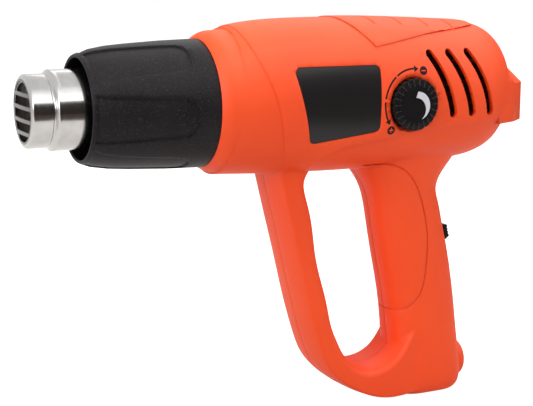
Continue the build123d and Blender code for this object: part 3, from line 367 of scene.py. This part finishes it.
looks = {
    # Injection-moulded ABS, self-coloured orange-red: satin, with the mould's fine spark grain and soft flow
    # marks. The real grain is near 0.1 mm, drawn coarser so that it shows
    "mouldedOrangeAbs": {"base": "#FA4E19", "roughness": 0.56, "ior": 1.53, "specular": 0.38, "patterns": (
        {"size": 34, "detail": 2.0, "stretch": (1, 1, 0.5), "shades": ("#F84A10", "#FC5014")},
        {"size": 0.45, "detail": 3.0, "coarseness": 0.6, "roughness": (0.5, 0.62),
         "depth": 0.02, "strength": 0.35, "edge": 0.45})},
    # Glass-filled PA66 of the hot-end guard: charcoal, with a matt spark-eroded grain. Its little sparkle under
    # the lamp
    # is painted glint: pale specks mixed into the colour. The real grain is 0.15 mm, drawn coarser so that it
    # shows
    "sparkedBlackNylon": {"base": "#181618", "roughness": 0.46, "ior": 1.53, "specular": 0.13, "patterns": (
        {"size": 22, "detail": 2.0, "shades": ("#161415", "#1D1A1C")},
        {"size": 0.55, "detail": 3.0, "coarseness": 0.65, "roughness": (0.42, 0.56),
         "paintedGlint": {"from": 0.56, "full": 0.72, "most": 0.8, "shade": "#454146"},
         "depth": 0.09, "strength": 0.8, "edge": 0.3})},
    # Moulded black ABS of the dial: slightly glossier than the guard, rubbed bright by fingers
    "mouldedBlackAbs": {"base": "#131112", "roughness": 0.38, "ior": 1.53, "specular": 0.15, "patterns": (
        {"size": 1.1, "detail": 3.0, "coarseness": 0.6, "shades": ("#110F10", "#171415"),
         "roughness": (0.3, 0.48), "depth": 0.05, "strength": 0.4, "edge": 0.2},)},
    # Bright-annealed stainless tube, polished round its axis: near-mirror with faint turning lines
    "polishedStainless": {"base": "#BCBAB8", "roughness": 0.12, "metallic": 1.0, "patterns": (
        {"size": 0.6, "detail": 2.0, "stretch": (1, 0.06, 0.06), "roughness": (0.13, 0.22)},
        {"size": 5.0, "detail": 2.0, "shades": ("#B8B6B3", "#C0BEBC"), "depth": 0.03, "strength": 0.25})},
    # Stamped stainless grille: duller than the tube, with the press's fine orange peel
    "stampedStainless": {"base": "#7E7C7A", "roughness": 0.3, "metallic": 1.0, "patterns": (
        {"size": 0.8, "detail": 3.0, "shades": ("#747270", "#888684"), "roughness": (0.18, 0.32),
         "depth": 0.03, "strength": 0.3, "edge": 0.15},)},
    # Satin black polycarbonate label, left bare: smooth skin with a trace of mottle
    "bareBlackLabelFilm": {"base": "#1C191A", "roughness": 0.33, "ior": 1.58, "specular": 0.22, "patterns": (
        {"size": 0.7, "detail": 2.0, "roughness": (0.28, 0.38), "depth": 0.01, "strength": 0.3, "edge": 0.25},)},
    # Hot-stamped white marking on the dial: chalky, very slightly raised
    "hotStampedWhite": {"base": "#D6D3DB", "roughness": 0.5, "patterns": (
        {"size": 0.3, "detail": 3.0, "shades": ("#CCC9D2", "#DDDAE2"), "depth": 0.02, "strength": 0.3},)},
    # Pad-printed dark marks on the casing: thin matt ink that lets a little orange through
    "padPrintedDarkInk": {"base": "#2B1016", "roughness": 0.5, "specular": 0.15, "patterns": (
        {"size": 0.25, "detail": 3.0, "shades": ("#260D13", "#381620"), "depth": 0.01, "strength": 0.3},)},
    # Zinc-plated steel of nut, clamp screws and motor can: bright, cool grey
    "zincPlatedSteel": plainLook("#A9ABAD", "#BFC0C0", 0.32, 0.6, 0.02, metallic=1.0),
    # Black-passivated zinc of the casing screws: dark, with a steel gleam
    "blackZincSteel": plainLook("#2B2A2B", "#3A3839", 0.34, 0.5, 0.02, metallic=1.0),
    # Turned brass of the control's nut: warm and bright
    "turnedBrass": plainLook("#B8954A", "#CBAA5E", 0.28, 0.4, 0.02, metallic=1.0),
    # Ground steel shafts: fine and bright
    "turnedSteel": plainLook("#9A9A98", "#B4B3B0", 0.25, 0.4, 0.02, metallic=1.0),
    # Sawn aluminium extrusion of the heatsink: pale and dull
    "sawnAluminium": plainLook("#BFC1C3", "#D2D3D4", 0.38, 0.5, 0.03, metallic=1.0),
    # Nichrome resistance wire: grey-brown oxide from the heat
    "oxidisedNichrome": plainLook("#6E665E", "#8C8278", 0.42, 0.3, 0.03, metallic=1.0),
    # Pressed mica sheet of the liner: flaky silver grey
    "pressedMica": plainLook("#B6B5B3", "#D2D1CF", 0.35, 2.5, 0.05, ior=1.58),
    # Fired cordierite of the heater former: dry cream ceramic
    "firedCordierite": plainLook("#D8CDB8", "#E6DECD", 0.75, 0.9, 0.05),
    # Moulded grey nylon of duct, clamp and fan: plain and matt
    "mouldedGreyNylon": plainLook("#5B5D60", "#66686B", 0.48, 0.5, 0.02),
    # Moulded phenolic boxes of switch and control: hard, near black
    "mouldedBlackPhenolic": plainLook("#1D1C1C", "#262424", 0.4, 0.8, 0.02),
    # Black ABS of the knob's ridges, a lighter grey than the knob's own black: painted highlight along the
    # ridges
    "ridgeHighlightBlackAbs": plainLook("#2C292A", "#3C3839", 0.45, 0.3, 0.02, ior=1.53),
    # Soft rubber of the cord gland: dull black
    "softBlackRubber": plainLook("#171616", "#211F1F", 0.65, 0.5, 0.03),
    # Glass laminate of the boards: green lacquer over a fine weave
    "greenGlassLaminate": plainLook("#1F4A2C", "#2A5C38", 0.4, 0.4, 0.01, ior=1.55),
    # Shrink sleeve of the capacitor: dark blue-grey and smooth
    "shrinkSleeve": plainLook("#20262F", "#2B323C", 0.35, 0.6, 0.01),
    # Woven nylon mesh of the dust screens: black, swallows the light behind the vents
    "blackNylonMesh": plainLook("#050404", "#090707", 0.85, 0.4, 0.03, ior=1.53, specular=0.05),
}
materials = {name: makeMaterial(name, look) for name, look in looks.items()}
print("materials ready")


# CAD nodes that keep their own mesh
keptNodes = {
    "mica_liner": "pressedMica", "heater_former": "firedCordierite", "heater_spider": "zincPlatedSteel",
    "thermal_cutout": "zincPlatedSteel", "air_duct": "mouldedGreyNylon", "motor_can": "zincPlatedSteel",
    "motor_shaft": "turnedSteel", "rectifier_board": "greenGlassLaminate", "fan_impeller": "mouldedGreyNylon",
    "control_body": "mouldedBlackPhenolic", "control_nut": "turnedBrass", "dial_shaft": "turnedSteel",
    "left_dust_screen": "blackNylonMesh", "right_dust_screen": "blackNylonMesh",
    "switch_body": "mouldedBlackPhenolic", "circuit_board": "greenGlassLaminate",
    "filter_capacitor": "shrinkSleeve", "heatsink": "sawnAluminium", "cable_gland": "softBlackRubber",
    "cord_clamp": "mouldedGreyNylon", "clamp_screws": "zincPlatedSteel",
}
for name, material in keptNodes.items():
    nodes[name].data.materials.clear()
    nodes[name].data.materials.append(materials[material])
print("inner parts ready")


# Outer mouldings: merged copies with smooth faces and crisp creases
mouldings = (
    ("left_housing", "leftHousing", "mouldedOrangeAbs", "casing", "casing_red"),
    ("right_housing", "rightHousing", "mouldedOrangeAbs", "casing", "casing_red"),
    ("nozzle_guard", "nozzleGuard", "sparkedBlackNylon", "casing", "black_plastic"),
    ("outlet_grille", "outletGrille", "stampedStainless", "casing", "nozzle_steel"),
    ("dial_knob", "dialKnob", "mouldedBlackAbs", "dial", "knob_plastic"),
    ("label_plate", "labelPlate", "bareBlackLabelFilm", "casing", "label_film"),
    ("switch_slider", "switchSlider", "mouldedBlackAbs", "switch", "knob_plastic"),
    ("dial_mark", "dialMark", "hotStampedWhite", "dial", "white_print"),
)
surface = {
    "seam": 0.002, "crease": 28, "turnedCrease": 40, "thumbRounding": 0.45, "thumbSteps": 3,
    "guardTurn": 13.0,  # degrees: the panels sit a little lower on the camera's side
    "crescentShift": (-1.6, 0.0, 0.2),  # nearer the dial's middle
}


def shadeSmooth(mesh, creaseDegrees):
    mesh.shade_smooth()
    mesh.set_sharp_from_angle(angle=math.radians(creaseDegrees))


def smoothCopy(node, pieceName):
    mesh = nodes[node].data.copy()
    mesh.name = pieceName
    shape = bmesh.new()
    shape.from_mesh(mesh)
    bmesh.ops.remove_doubles(shape, verts=shape.verts, dist=surface["seam"] * mm)
    shape.to_mesh(mesh)
    shape.free()
    shadeSmooth(mesh, surface["crease"])
    piece = addObject(pieceName, mesh)
    piece.modifiers.new("evenShading", "WEIGHTED_NORMAL").keep_sharp = True
    return flatten(piece)


def roundThumbRidge(piece):
    rounding = piece.modifiers.new("rounding", "BEVEL")
    rounding.width = surface["thumbRounding"] * mm
    rounding.segments = surface["thumbSteps"]
    flatten(piece).data.shade_smooth()


for node, pieceName, material, body, slotName in mouldings:
    piece = smoothCopy(node, pieceName)
    if node == "switch_slider":
        roundThumbRidge(piece)
    if node == "nozzle_guard":
        piece.data.transform(Matrix.Rotation(math.radians(surface["guardTurn"]), 4, "X"))
    if node == "dial_mark":
        piece.data.transform(Matrix.Translation(Vector(surface["crescentShift"]) * mm))
    dress(piece, materials[material], body)
    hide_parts(node)
print("mouldings ready")


# Nozzle tube: turned profile with a rolled lip, a groove and a rolled bead where it widens
tube = {
    "lipFace": 14.8, "lipReach": 1.3, "nozzle": 17.0, "nozzleEnd": 8.2, "groove": 0.55, "grooveWidth": 1.4,
    "bead": 18.82, "beadEnd": 13.4, "body": 18.7, "wall": 0.8, "end": 100.0, "flange": 23.0, "flangeStart": 99.0,
    "wideBoreStart": 12.6, "segments": 160, "arcSteps": 10,
}


def easedLine(start, end):
    # A smooth S from one radius to another
    steps = tube["arcSteps"] * 2
    shares = [i / steps for i in range(steps + 1)]
    rise = end[1] - start[1]
    return [(start[0] + (end[0] - start[0]) * share, start[1] + rise * (0.5 - 0.5 * math.cos(math.pi * share)))
            for share in shares]


def tubeProfile():
    # Places along the tube with their radius: lip, outside to the flange, then back through the bore
    t = tube
    narrowBore = t["nozzle"] - t["wall"] - t["groove"]
    wideBore = t["body"] - t["wall"]
    lip = [(-t["lipReach"] * math.cos(a), t["lipFace"] + (t["nozzle"] - t["lipFace"]) * math.sin(a))
           for a in (math.pi / 2 * i / t["arcSteps"] for i in range(t["arcSteps"] + 1))]
    grooveMiddle = (t["nozzleEnd"] + t["grooveWidth"] / 2, t["nozzle"] - t["groove"])
    beadTop = ((grooveMiddle[0] + t["beadEnd"]) / 2, t["bead"])
    points = lip + easedLine((t["nozzleEnd"], t["nozzle"]), grooveMiddle)
    points += easedLine(grooveMiddle, beadTop)[1:]
    points += easedLine(beadTop, (t["beadEnd"], t["body"]))[1:]
    points += [(t["flangeStart"], t["body"]), (t["flangeStart"], t["flange"]), (t["end"], t["flange"])]
    points += [(t["end"], wideBore), (t["wideBoreStart"], wideBore)]
    points += [(t["nozzleEnd"] + t["wall"], narrowBore), (0, narrowBore)]
    return points + [(t["wall"] - t["lipReach"], t["lipFace"])]


def turnedPiece(pieceName, profile, segments):
    shape = bmesh.new()
    ring = [shape.verts.new((x * mm, 0, radius * mm)) for x, radius in profile]
    edges = [shape.edges.new((ring[i], ring[(i + 1) % len(ring)])) for i in range(len(ring))]
    bmesh.ops.spin(shape, geom=ring + edges, cent=(0, 0, 0), axis=(1, 0, 0), angle=math.tau, steps=segments)
    bmesh.ops.remove_doubles(shape, verts=shape.verts, dist=surface["seam"] * mm)
    bmesh.ops.recalc_face_normals(shape, faces=shape.faces)
    mesh = bpy.data.meshes.new(pieceName)
    shape.to_mesh(mesh)
    shape.free()
    shadeSmooth(mesh, surface["turnedCrease"])
    return addObject(pieceName, mesh)


nozzleTube = turnedPiece("nozzleTube", tubeProfile(), tube["segments"])
dress(nozzleTube, materials["polishedStainless"], "casing")
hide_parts("nozzle_tube")
print("nozzle tube ready")


# Heating coils: wound wire in the ceramic former's bores, one in the middle and a ring of others
coils = {"Wire": 0.34, "WireSides": 6, "Radius": 2.66, "Ring": 9.4, "Start": 22.0, "Length": 66.0, "Turns": 46,
         "TurnSteps": 12, "Count": 6}
alongX = Matrix(((0, 0, 1), (1, 0, 0), (0, 1, 0))).to_euler()


def coilTree():
    tree, sizes = startTree("heatingCoils", inputKinds(coils))
    coil = wound(tree, sizes["Radius"], sizes["Turns"], sizes["Length"], sizes["TurnSteps"],
                 sizes["Wire"], sizes["WireSides"])
    spots = addNode(tree, "GeometryNodeJoinGeometry")
    ring = addNode(tree, "GeometryNodeMeshCircle", None, {"Vertices": sizes["Count"], "Radius": sizes["Ring"]})
    middle = addNode(tree, "GeometryNodePoints", None, {"Count": 1})
    for source in (ring, middle):
        tree.links.new(source.outputs[0], spots.inputs[0])
    copies = addNode(tree, "GeometryNodeInstanceOnPoints", None, {"Points": spots.outputs[0], "Instance": coil})
    shift = addNode(tree, "ShaderNodeCombineXYZ", None, {"X": sizes["Start"]})
    placed = addNode(tree, "GeometryNodeTransform", None, {
        "Geometry": copies.outputs[0], "Translation": shift.outputs[0], "Rotation": alongX})
    endTree(tree, placed.outputs[0], materials["oxidisedNichrome"])
    return tree


heatingCoils = grow("heatingCoils", coilTree(), lengths(coils))
heatingCoils.data.shade_smooth()
dress(heatingCoils, materials["oxidisedNichrome"], "casing")
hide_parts("heating_windings")
print("heating coils ready")


# Casing screws: black zinc pan heads with a cross recess, and their threads
screws = {
    "sizes": {
        "HeadRadius": 3.0, "HeadHeight": 2.2, "HeadSides": 40, "ShankRadius": 1.15, "ShankSides": 20,
        "Length": 16.0, "ThreadRadius": 1.5, "ThreadSteps": 16, "ThreadSides": 4, "Pitch": 1.25,
        "RecessWidth": 0.75, "RecessLength": 3.4, "RecessDepth": 1.3,
    },
    "shares": {  # heights in the screw, each as a share of one of its sizes
        "headMiddle": ("HeadHeight", 0.5), "recessHeight": ("RecessDepth", 2), "shankMiddle": ("Length", -0.5),
        "threadLength": ("Length", 0.94), "threadStart": ("Length", -0.97),
    },
    "seat": 6.0,
    "places": ((112.0, 30.3), (241.0, 18.5), (123.5, -29.8), (158.6, -139.4), (203.6, -149.0), (214.0, -44.0)),
}
intoCasing = (-math.pi / 2, 0, 0)


def screwTree():
    tree, sizes = startTree("casingScrews", inputKinds(screws["sizes"]))
    share = {}
    for name, (size, part) in screws["shares"].items():
        height = addNode(tree, "ShaderNodeMath", {"operation": "MULTIPLY"}, {0: sizes[size], 1: part})
        share[name] = height.outputs[0]
    head = addNode(tree, "GeometryNodeMeshCylinder", None, {
        "Vertices": sizes["HeadSides"], "Radius": sizes["HeadRadius"], "Depth": sizes["HeadHeight"]})
    head = raised(tree, head.outputs[0], share["headMiddle"])
    recess = addNode(tree, "ShaderNodeCombineXYZ", None, {
        "X": sizes["RecessLength"], "Y": sizes["RecessWidth"], "Z": share["recessHeight"]})
    arm = addNode(tree, "GeometryNodeMeshCube", None, {"Size": recess.outputs[0]})
    arm = raised(tree, arm.outputs[0], sizes["HeadHeight"])
    for quarter in (0, math.pi / 2):
        cut = addNode(tree, "GeometryNodeTransform", None, {"Geometry": arm, "Rotation": (0, 0, quarter)})
        head = addNode(tree, "GeometryNodeMeshBoolean", {"operation": "DIFFERENCE"}, {
            "Mesh 1": head, "Mesh 2": cut.outputs[0]}).outputs[0]
    shank = addNode(tree, "GeometryNodeMeshCylinder", None, {
        "Vertices": sizes["ShankSides"], "Radius": sizes["ShankRadius"], "Depth": sizes["Length"]})
    shank = raised(tree, shank.outputs[0], share["shankMiddle"])
    turns = addNode(tree, "ShaderNodeMath", {"operation": "DIVIDE"}, {0: sizes["Length"], 1: sizes["Pitch"]})
    flank = addNode(tree, "ShaderNodeMath", {"operation": "SUBTRACT"}, {
        0: sizes["ThreadRadius"], 1: sizes["ShankRadius"]})
    thread = wound(tree, sizes["ShankRadius"], turns.outputs[0], share["threadLength"], sizes["ThreadSteps"],
                   flank.outputs[0], sizes["ThreadSides"])
    thread = raised(tree, thread, share["threadStart"])
    whole = addNode(tree, "GeometryNodeJoinGeometry")
    for solid in (head, shank, thread):
        tree.links.new(solid, whole.inputs[0])
    copies = addNode(tree, "GeometryNodeInstanceOnPoints", None, {
        "Points": sizes["Geometry"], "Instance": whole.outputs[0], "Rotation": intoCasing})
    endTree(tree, copies.outputs[0], materials["blackZincSteel"])
    return tree


seats = bpy.data.meshes.new("screwSeats")
seats.from_pydata([(x * mm, screws["seat"] * mm, z * mm) for x, z in screws["places"]], [], [])
casingScrews = grow("casingScrews", screwTree(), lengths(screws["sizes"]), seats)
dress(casingScrews, materials["blackZincSteel"], "casing")
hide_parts("casing_screws")
print("casing screws ready")


# Fine ridges round the dial's rim, one for each flute: a bar on the crown and a lower one out to the rim
ridges = {
    "sizes": {"Count": 22, "Hub": 0.01, "Inner": 9.1, "Crown": 10.1, "Rim": 12.1, "Width": 0.34,
              "Thickness": 0.32, "Drop": -0.5},
    "x": 184.4, "z": -1.8,
}
outOfCasing = (math.pi / 2, 0, 0)


def ridgeTree():
    tree, sizes = startTree("dialRidges", inputKinds(ridges["sizes"]) | {"Centre": "Vector"})
    ridge = addNode(tree, "GeometryNodeJoinGeometry")
    for start, end, drop in (("Inner", "Crown", 0), ("Crown", "Rim", sizes["Drop"])):
        reach = addNode(tree, "ShaderNodeMath", {"operation": "SUBTRACT"}, {0: sizes[end], 1: sizes[start]})
        both = addNode(tree, "ShaderNodeMath", {"operation": "ADD"}, {0: sizes[start], 1: sizes[end]})
        middle = addNode(tree, "ShaderNodeMath", {"operation": "MULTIPLY"}, {0: both.outputs[0], 1: 0.5})
        size = addNode(tree, "ShaderNodeCombineXYZ", None, {
            "X": reach.outputs[0], "Y": sizes["Width"], "Z": sizes["Thickness"]})
        place = addNode(tree, "ShaderNodeCombineXYZ", None, {"X": middle.outputs[0], "Z": drop})
        block = addNode(tree, "GeometryNodeMeshCube", None, {"Size": size.outputs[0]})
        block = addNode(tree, "GeometryNodeTransform", None, {
            "Geometry": block.outputs[0], "Translation": place.outputs[0]})
        tree.links.new(block.outputs[0], ridge.inputs[0])
    spots = addNode(tree, "GeometryNodeMeshCircle", None, {"Vertices": sizes["Count"], "Radius": sizes["Hub"]})
    outwards = addNode(tree, "FunctionNodeAlignRotationToVector", {"axis": "X"}, {
        "Vector": addNode(tree, "GeometryNodeInputPosition").outputs[0]})
    copies = addNode(tree, "GeometryNodeInstanceOnPoints", None, {
        "Points": spots.outputs[0], "Instance": ridge.outputs[0], "Rotation": outwards.outputs[0]})
    placed = addNode(tree, "GeometryNodeTransform", None, {
        "Geometry": copies.outputs[0], "Translation": sizes["Centre"], "Rotation": outOfCasing})
    endTree(tree, placed.outputs[0], materials["ridgeHighlightBlackAbs"])
    return tree


knobFace = (ridges["x"] * mm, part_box("dial_mark")[1].y, ridges["z"] * mm)  # the white mark's back lies on it
# The ridges take a lighter grey than the knob: painted highlight along them
dialRidges = grow("dialRidges", ridgeTree(), lengths(ridges["sizes"]) | {"Centre": knobFace})
dress(dialRidges, materials["ridgeHighlightBlackAbs"], "dial")
print("dial ridges ready")


# Printed marks beside the dial: arcs, arrowheads and plain plus and minus discs, laid on the casing
marks = {
    "x": 184.9, "z": -1.3, "radius": 16.9, "line": 0.9, "step": 3.0,
    "arcs": ((126.0, 89.8), (170.5, 129.0), (175.5, 207.2)),  # start and end in degrees
    "heads": ((89.5, 81.0), (207.5, 216.0)), "headWidth": 3.2,  # foot and tip in degrees
    "minus": (190.4, 14.4), "plus": (172.3, -14.1), "disc": 2.15, "discSides": 32, "sign": 1.2, "signWidth": 0.6,
    "film": 0.04, "cuts": 2, "ahead": 10.0, "reach": 100.0,
}


def around(radius, degrees):
    angle = math.radians(degrees)
    return marks["x"] + radius * math.cos(angle), marks["z"] + radius * math.sin(angle)


def minusSign(centre, length, width):
    x, z = centre
    return [(x - length, z - width), (x + length, z - width), (x + length, z + width), (x - length, z + width)]


def plusSign(centre, length, width):
    x, z = centre
    steps = ((length, -width), (length, width), (width, width), (width, length), (-width, length),
             (-width, width))
    return [(x + a, z + b) for a, b in steps] + [(x - a, z - b) for a, b in steps]


def markOutlines():
    outlines = []
    edge = marks["line"] / 2
    for start, end in marks["arcs"]:
        count = round(abs(end - start) / marks["step"])
        angles = [start + (end - start) * i / count for i in range(count + 1)]
        outer = [around(marks["radius"] + edge, angle) for angle in angles]
        inner = [around(marks["radius"] - edge, angle) for angle in angles]
        outlines.append(outer + inner[::-1])
    wing = marks["headWidth"] / 2
    for foot, tip in marks["heads"]:
        outlines.append([around(marks["radius"] + wing, foot), around(marks["radius"] - wing, foot),
                         around(marks["radius"], tip)])
    circle = [math.tau * i / marks["discSides"] for i in range(marks["discSides"])]
    for x, z in (marks["minus"], marks["plus"]):
        outlines.append([(x + marks["disc"] * math.cos(a), z + marks["disc"] * math.sin(a)) for a in circle])
    outlines.append(minusSign(marks["minus"], marks["sign"], marks["signWidth"] / 2))
    outlines.append(plusSign(marks["plus"], marks["sign"], marks["signWidth"] / 2))
    return outlines


def markSheet():
    # Flat marks in front of the casing, which the tree then lays on its skin
    drawing = bpy.data.curves.new("markDrawing", "CURVE")
    drawing.dimensions = "2D"
    drawing.fill_mode = "BOTH"
    for outline in markOutlines():
        spline = drawing.splines.new("POLY")
        spline.points.add(len(outline) - 1)
        for point, (x, z) in zip(spline.points, outline):
            point.co = (x * mm, z * mm, 0, 1)
        spline.use_cyclic_u = True
    holder = addObject("markDrawing", drawing)
    mesh = bpy.data.meshes.new_from_object(holder)
    bpy.data.objects.remove(holder)
    y = cadBox[0].y - marks["ahead"] * mm
    mesh.transform(Matrix(((1, 0, 0, 0), (0, 0, -1, y), (0, 1, 0, 0), (0, 0, 0, 1))))
    return mesh


def printTree():
    tree, sizes = startTree("printedMarks", {"Skin": "Object", "Film": "Float", "Reach": "Float", "Cuts": "Int"})
    skin = addNode(tree, "GeometryNodeObjectInfo", None, {"Object": sizes["Skin"]})
    fine = addNode(tree, "GeometryNodeSubdivideMesh", None, {"Mesh": sizes["Geometry"], "Level": sizes["Cuts"]})
    cast = addNode(tree, "GeometryNodeRaycast", None, {
        "Target Geometry": skin.outputs["Geometry"], "Ray Direction": (0, 1, 0), "Ray Length": sizes["Reach"]})
    laid = addNode(tree, "GeometryNodeSetPosition", None, {
        "Geometry": fine.outputs[0], "Position": cast.outputs["Hit Position"]})
    film = addNode(tree, "GeometryNodeExtrudeMesh", None, {
        "Mesh": laid.outputs[0], "Offset Scale": sizes["Film"], "Individual": False})
    endTree(tree, film.outputs[0], materials["padPrintedDarkInk"])
    return tree


printValues = {"Skin": bpy.data.objects["leftHousing"], "Film": marks["film"] * mm, "Reach": marks["reach"] * mm,
               "Cuts": marks["cuts"]}
printedMarks = grow("printedMarks", printTree(), printValues, markSheet())
dress(printedMarks, materials["padPrintedDarkInk"], "casing")
print("printed marks ready")
